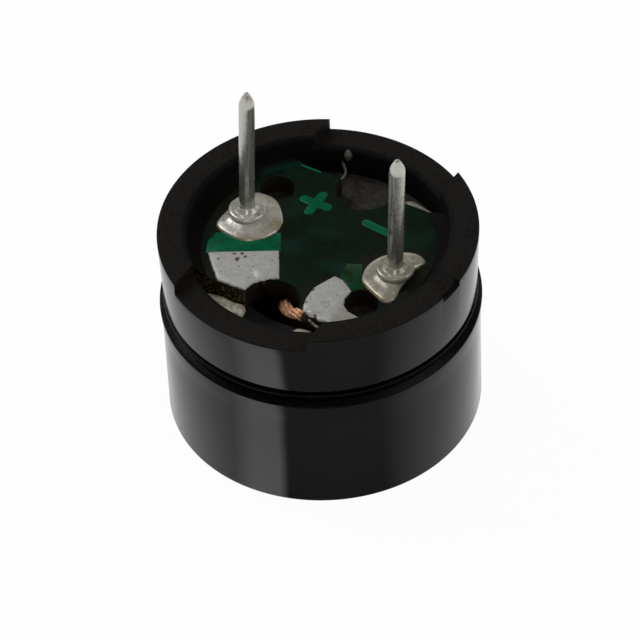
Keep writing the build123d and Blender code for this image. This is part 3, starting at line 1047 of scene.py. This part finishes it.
# %% Glue
glue_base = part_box("yoke_plate")[1].z
glue_runs = {
    "glue_front_left": (0.25, in_mm([
        (-2.85, -3.72), (-2.05, -3.54), (-1.49, -3.6), (-1.05, -3.56), (-0.95, -4.0), (-1.35, -4.3),
        (-1.8, -4.35), (-2.45, -4.05),
    ])),
    "glue_front_right": (0.4, in_mm([
        (1.3, -3.7), (2.0, -3.62), (2.35, -3.85), (2.1, -4.3), (1.5, -4.5), (1.15, -4.3),
    ])),
    "glue_back_right": (0.78, in_mm([
        (1.5, 3.52), (2.4, 3.52), (3.15, 3.52), (3.1, 3.62), (2.4, 3.72), (1.55, 3.86),
    ])),
}
run_shares = ((0.03, 0.5), (0.12, 0.8), (0.4, 0.96), (0.94, 1.0))
for name, (rise, outline) in glue_runs.items():
    centre = sum(outline, Vector((0, 0))) / len(outline)
    glue_lifts = lifts_in_mm((0.0, -0.01), *[(inwards, share * rise) for inwards, share in run_shares])
    run = flowed(name, smooth_loop(outline), centre, glue_base, glue_lifts, 0.02 * MM)
    piece(run, glue, "sealant")

string_route = in_mm([
    (-1.75, 4.64, 7.28), (-1.45, 4.3, 7.42), (-1.2, 4.02, 7.52), (-1.1, 3.72, 7.55), (-1.16, 3.46, 7.5),
])
string = strand("glue_string", spline_points(string_route), lay=0, radius=0.06 * MM, gather=0.2, start=0)
piece(string, glue, "sealant")
drop_profile = rounded(in_mm([
    (0, 7.46, 0), (0.12, 7.52, 0.08), (0.17, 7.76, 0.13), (0.07, 7.94, 0.05), (0, 7.96, 0),
]))
drop_place = Vector((-1.48, 4.66)) * MM
drop_sections = [turned(drop_profile, angle, drop_place) for angle in around[::10]]
piece(skin("glue_drop", drop_sections, loop_points=False, sharp=60), glue, "sealant")
print("glue runs:", ", ".join(glue_runs), "and a string with a drop")

# %% [markdown]
# ## Floor, light and what the gloss reflects
#
# The object stands on a white table and the picture's background is pure white, with hardly a shadow.
# The table is bright to the camera and to reflections, but it keeps some of the real shadow.
# A glossy black wall is a mirror for the table close around it. The photograph shows the object's own shade
# there, and a dark room overhead, so two dark cards stand in for them. Only reflections see the cards.

# %% Floor
def stage_piece(name, points, faces):
    data = bpy.data.meshes.new(name)
    data.from_pydata(points, [], faces)
    item = bpy.data.objects.new(name, data)
    scene.collection.objects.link(item)
    return item


def stage_square(name, reach, height):
    corners = [(x * reach, y * reach, height) for x, y in ((-1, -1), (1, -1), (1, 1), (-1, 1))]
    return stage_piece(name, corners, [(0, 1, 2, 3)])


floor = stage_square("table", 1.5, -0.02 * MM)
table = Finish("table", Base_Color=(0.85, 0.85, 0.85, 1), Roughness=0.9)
white = table.node("ShaderNodeEmission", {}, {"Strength": 1.0})
table.mixed(table.seen() * 0.96, Flow(table, table.shader.outputs[0]), white)
floor.data.materials.append(table.material)

# %% Cards that only reflections see
def card(item, finish):
    item.data.materials.append(finish.material)
    item.visible_camera = False
    item.visible_diffuse = False
    item.visible_transmission = False
    item.visible_volume_scatter = False
    item.visible_shadow = False


shade_steps = [
    (-90, 0.15), (-78, 0.25), (-66, 0.35), (-50, 0.48), (-37, 0.62), (-28, 0.08), (-18.4, 0.0), (-15.2, 1.0),
    (20, 1.0), (31, 0.75), (50, 0.5), (67, 0.28), (88, 0.0),
]


def shade_at(degree):
    """How dark the table's shade is, seen in the wall at an angle from the middle of the view."""
    for (left, low), (right, high) in zip(shade_steps, shade_steps[1:]):
        if left <= degree <= right:
            return low + (high - low) * (degree - left) / (right - left)
    return 0.0


front_angle = view_azimuth - pi / 2
shade_reach = 11 * MM
card_lift = Vector((0, 0, 0.01 * MM))
shade_angles = [-90 + step * 0.5 for step in range(361)]
inner, outer = [], []
for degree in shade_angles:
    wall = front_angle + radians(degree)
    ray = front_angle + radians(2 * degree)
    foot = Vector((cos(wall), sin(wall), 0)) * case_radius
    inner.append(foot + card_lift)
    outer.append(foot + Vector((cos(ray), sin(ray), 0)) * shade_reach + card_lift)
count = len(shade_angles)
strips = [(i, i + 1, count + i + 1, count + i) for i in range(count - 1)]
shade_card = stage_piece("shade_card", inner + outer, strips)
darkness = shade_card.data.attributes.new("darkness", "FLOAT", "POINT")
darkness.data.foreach_set("value", [shade_at(degree) for degree in shade_angles] * 2)
shade_finish = Finish("shade_card")
dark_share = shade_finish.node("ShaderNodeAttribute", {"attribute_name": "darkness"}, {}, "Fac")
clear = shade_finish.node("ShaderNodeBsdfTransparent")
black = shade_finish.node("ShaderNodeEmission", {}, {"Strength": 0.0})
shade_finish.mixed(dark_share, clear, black)
card(shade_card, shade_finish)

canopy = stage_square("dark_canopy", 1.1, 0.45)
canopy_finish = Finish("dark_canopy")
dim = canopy_finish.node("ShaderNodeEmission", {}, {"Strength": 0.06})
canopy_finish.feed(canopy_finish.tree.nodes["Material Output"].inputs["Surface"], dim)
card(canopy, canopy_finish)
print("stage: table, shade card and canopy")

# %% Lamps and world
level_away = Vector((-sin(view_azimuth), cos(view_azimuth), 0))


def lamp(name, right, away, up, size, power):
    """A square soft lamp, placed as seen from the camera and aimed at the object."""
    light = bpy.data.lights.new(name, "AREA")
    light.size = size
    light.energy = power
    item = bpy.data.objects.new(name, light)
    item.location = level_right * right + level_away * away + Vector((0, 0, up))
    item.rotation_euler = (Vector((0, 0, 6 * MM)) - item.location).to_track_quat("-Z", "Y").to_euler()
    scene.collection.objects.link(item)


lamp("key", -0.16, 0.12, 0.22, 0.12, 0.32)
lamp("fill", 0.18, -0.05, 0.2, 0.16, 0.16)
lamp("glint", -0.02, -0.2, 0.22, 0.03, 0.06)

world = bpy.data.worlds.new("studio")
scene.world = world
sky = Finish("studio", world, "Background", Color=(1, 1, 1, 1), Strength=0.5)
bright_sky = sky.node("ShaderNodeBackground", {}, {"Color": (1, 1, 1, 1), "Strength": 1.0})
sky.mixed(sky.seen(), Flow(sky, sky.shader.outputs[0]), bright_sky)
scene.view_settings.view_transform = "Standard"
print("lamps: key, fill and glint")
